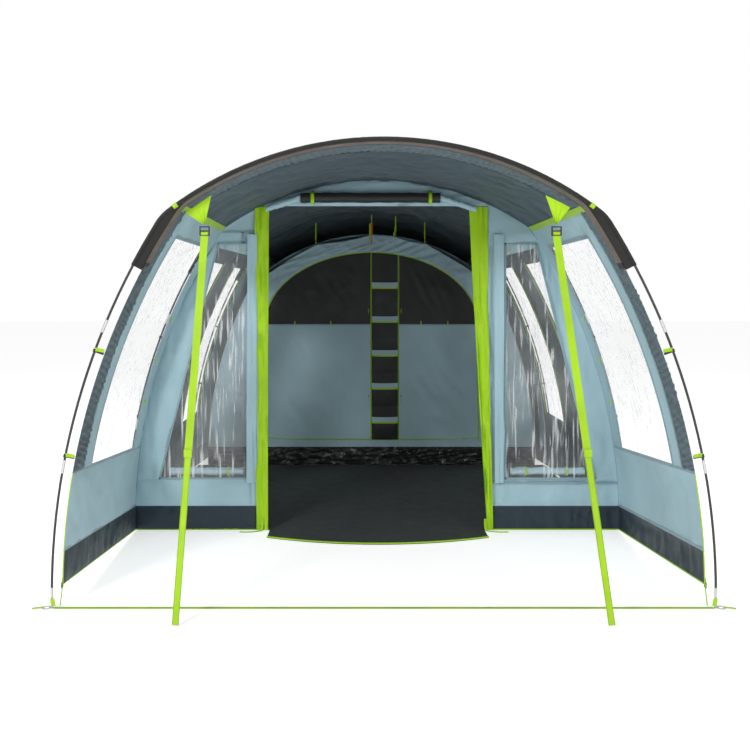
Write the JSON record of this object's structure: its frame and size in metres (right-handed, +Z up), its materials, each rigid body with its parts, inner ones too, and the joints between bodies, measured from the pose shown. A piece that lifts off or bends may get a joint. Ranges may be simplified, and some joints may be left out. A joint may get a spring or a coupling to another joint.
{
  "type": "tunnel tent",
  "caption": "Tunnel tent on curved fibreglass poles with an open porch, a living room, a hung bedroom with zipped doors and pegged webbing straps.",
  "frame": {"origin": "on the ground under the middle of the whole tent, at the bottom centre of its box", "axes": "+X across the tent to the right seen from the porch, +Y from the porch to the rear, +Z up"},
  "size_m": [3.0514, 5.2762, 2.1065],
  "materials": {
    "pole": "satin black fibreglass",
    "steel": "satin plated steel",
    "sleeve_black": "matte woven polyester",
    "black_plastic": "matte moulded acetal",
    "edge_mesh": "matte open mesh",
    "hem_slate": "coated polyester",
    "roof_slate": "coated polyester",
    "wall_blue": "coated polyester",
    "clear_film": "clear flexible film",
    "skirt_slate": "coated polyester",
    "lime_webbing": "woven webbing",
    "door_dark": "coated polyester",
    "groundsheet": "woven polyethylene sheet",
    "inner_blue": "breathable polyester",
    "inner_dark": "breathable polyester",
    "lime_plastic": "moulded plastic and cord"
  },
  "bodies": {
    "tent": {"bedroom_roof": "roof_slate", "bedroom_sides": "wall_blue", "corner_buckles": "black_plastic", "corner_straps": "lime_webbing", "door_pole": "pole", "door_sleeve": "sleeve_black", "door_ties": "lime_webbing", "door_trims": "lime_webbing", "foot_rings": "steel", "front_edge_band": "edge_mesh", "front_ground_tape": "lime_webbing", "front_pole": "pole", "front_skirts": "skirt_slate", "front_sleeve": "sleeve_black", "front_wall": "wall_blue", "front_windows": "clear_film", "groundsheet": "groundsheet", "inner_front": "inner_blue", "inner_hangers": "lime_webbing", "inner_roof": "inner_blue", "inner_tub": "groundsheet", "inner_walls": "inner_blue", "living_roof": "roof_slate", "living_sides": "roof_slate", "living_windows": "clear_film", "middle_pole": "pole", "middle_sleeve": "sleeve_black", "organiser": "inner_dark", "pole_clips": "black_plastic", "pole_ferrules": "steel", "porch_hems": "hem_slate", "porch_roof": "roof_slate", "porch_side_left": "wall_blue", "porch_side_right": "wall_blue", "porch_skirts": "skirt_slate", "porch_windows": "clear_film", "rear_pole": "pole", "rear_sleeve": "sleeve_black", "rear_wall": "wall_blue", "rolled_door": "door_dark", "roof_hem_band": "hem_slate", "shoulder_tapes": "lime_webbing", "side_skirts": "skirt_slate", "sill_piping": "lime_webbing", "strap_triangles": "lime_webbing", "tape_eyelets": "steel", "window_curtains": "wall_blue"},
    "inner_door_left": {"inner_door_left": "inner_blue"},
    "inner_door_right": {"inner_door_right": "inner_blue"},
    "upper_slider_left": {"upper_slider_left": "lime_plastic"},
    "lower_slider_left": {"lower_slider_left": "lime_plastic"},
    "upper_slider_right": {"upper_slider_right": "lime_plastic"},
    "lower_slider_right": {"lower_slider_right": "lime_plastic"},
    "door_toggle_left": {"door_toggle_left": "lime_plastic"},
    "door_toggle_right": {"door_toggle_right": "lime_plastic"},
    "storm_strap_left": {"storm_strap_left": "lime_webbing", "storm_buckle_left": "black_plastic"},
    "storm_strap_right": {"storm_strap_right": "lime_webbing", "storm_buckle_right": "black_plastic"}
  },
  "joints": [
    {"name": "inner_door_left", "type": "hinge", "parent": "tent", "child": "inner_door_left", "pos_m": [-0.878, 0.63573, 0.7], "axis": [0, 0, -1], "range_deg": [0, 90]},
    {"name": "inner_door_right", "type": "hinge", "parent": "tent", "child": "inner_door_right", "pos_m": [0.878, 0.63573, 0.7], "axis": [0, 0, 1], "range_deg": [0, 90]},
    {"name": "upper_slider_left", "type": "slide", "parent": "inner_door_left", "child": "upper_slider_left", "axis": [0, 0, 1], "range_m": [-0.64, 0.4]},
    {"name": "lower_slider_left", "type": "slide", "parent": "inner_door_left", "child": "lower_slider_left", "axis": [0, 0, 1], "range_m": [-0.33, 0.6]},
    {"name": "upper_slider_right", "type": "slide", "parent": "inner_door_right", "child": "upper_slider_right", "axis": [0, 0, 1], "range_m": [-0.64, 0.4]},
    {"name": "lower_slider_right", "type": "slide", "parent": "inner_door_right", "child": "lower_slider_right", "axis": [0, 0, 1], "range_m": [-0.33, 0.6]},
    {"name": "door_toggle_left", "type": "hinge", "parent": "tent", "child": "door_toggle_left", "pos_m": [-0.381, -1.32887, 1.972], "axis": [0, -1, 0], "range_deg": [-90, 90]},
    {"name": "door_toggle_right", "type": "hinge", "parent": "tent", "child": "door_toggle_right", "pos_m": [0.31, -1.32887, 1.972], "axis": [0, -1, 0], "range_deg": [-90, 90]},
    {"name": "storm_strap_left", "type": "hinge", "parent": "tent", "child": "storm_strap_left", "pos_m": [-0.812, -2.37187, 1.712], "axis": [-1, 0, 0], "range_deg": [0, 75]},
    {"name": "storm_strap_right", "type": "hinge", "parent": "tent", "child": "storm_strap_right", "pos_m": [0.786, -2.37187, 1.712], "axis": [-1, 0, 0], "range_deg": [0, 75]}
  ]
}
